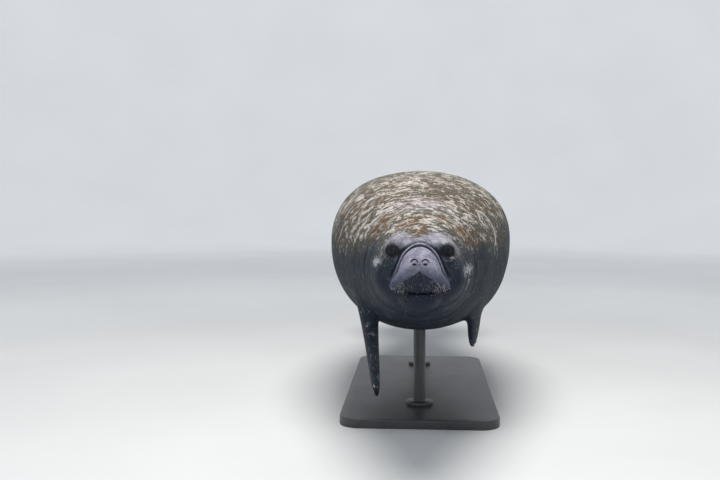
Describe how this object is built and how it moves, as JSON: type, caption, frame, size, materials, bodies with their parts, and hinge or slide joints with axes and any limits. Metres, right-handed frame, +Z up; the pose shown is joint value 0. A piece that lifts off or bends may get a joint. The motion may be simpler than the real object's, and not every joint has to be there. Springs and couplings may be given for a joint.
{
  "type": "manatee display model",
  "caption": "Life-size still model of a West Indian manatee swimming, with broad muzzle, paddle tail and hanging flippers, held on a plain base with rods.",
  "frame": {"origin": "under the middle of the animal's length, on the underside of the stand's base", "axes": "+Z up, the animal faces -Y, +Y runs from the snout to the tail, +X is the animal's left"},
  "size_m": [0.8782, 3.2475, 1.1226],
  "materials": {
    "hide": "wrinkled grey-brown hide with pale algae streaks",
    "muzzle_skin": "bare lavender-grey hide",
    "eye": "wet dark gloss",
    "stand_paint": "satin charcoal paint"
  },
  "bodies": {
    "root": {"snout": "muzzle_skin", "muzzle_fold": "muzzle_skin", "lower_jaw": "muzzle_skin", "head": "hide", "eye_right": "eye", "eye_left": "eye", "neck": "hide", "chest": "hide", "torso": "hide", "tail_stock": "hide", "tail_paddle": "hide", "flipper_right": "hide", "flipper_left": "hide", "stand_base": "stand_paint", "stand_rod_front": "stand_paint", "stand_rod_rear": "stand_paint"}
  },
  "joints": []
}
